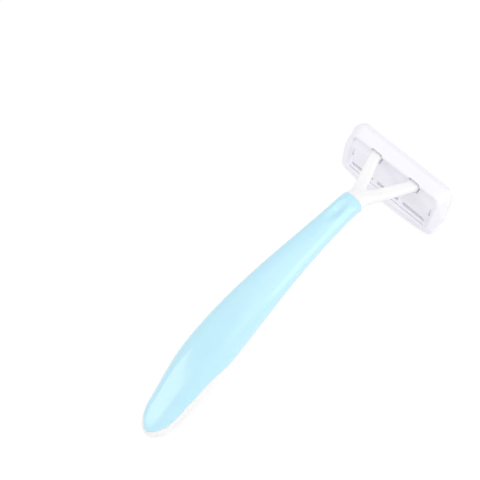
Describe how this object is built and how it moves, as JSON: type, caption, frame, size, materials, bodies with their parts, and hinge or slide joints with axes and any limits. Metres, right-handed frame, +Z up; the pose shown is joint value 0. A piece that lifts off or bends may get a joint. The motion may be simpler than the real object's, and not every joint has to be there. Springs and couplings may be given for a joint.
{
  "type": "body shaver",
  "caption": "Slim body shaver: an arched two-tone handle parts into a fork that carries a wide swinging head with a wire-guarded blade strip.",
  "frame": {"origin": "centre of the bounding box at its lowest level, with the shaver lying on its guard edge and tail", "axes": "+X along the handle from the tail to the head, +Y along the blade, +Z up from the table"},
  "size_m": [0.127, 0.045, 0.0244],
  "materials": {
    "handle_core": "smooth moulded",
    "grip_cover": "smooth moulded",
    "head_base": "smooth moulded",
    "head_cap": "smooth moulded",
    "blade": "ground",
    "guard_wire": "drawn"
  },
  "bodies": {
    "handle": {"handle_core": "handle_core", "grip_cover": "grip_cover"},
    "head": {"head_base": "head_base", "head_cap": "head_cap", "blade": "blade", "guard_wire": "guard_wire"}
  },
  "joints": [
    {"name": "head_swing", "type": "hinge", "parent": "handle", "child": "head", "pos_m": [0.05849, 0, 0.01318], "axis": [0, 1, 0], "range_deg": [-15, 15]}
  ]
}
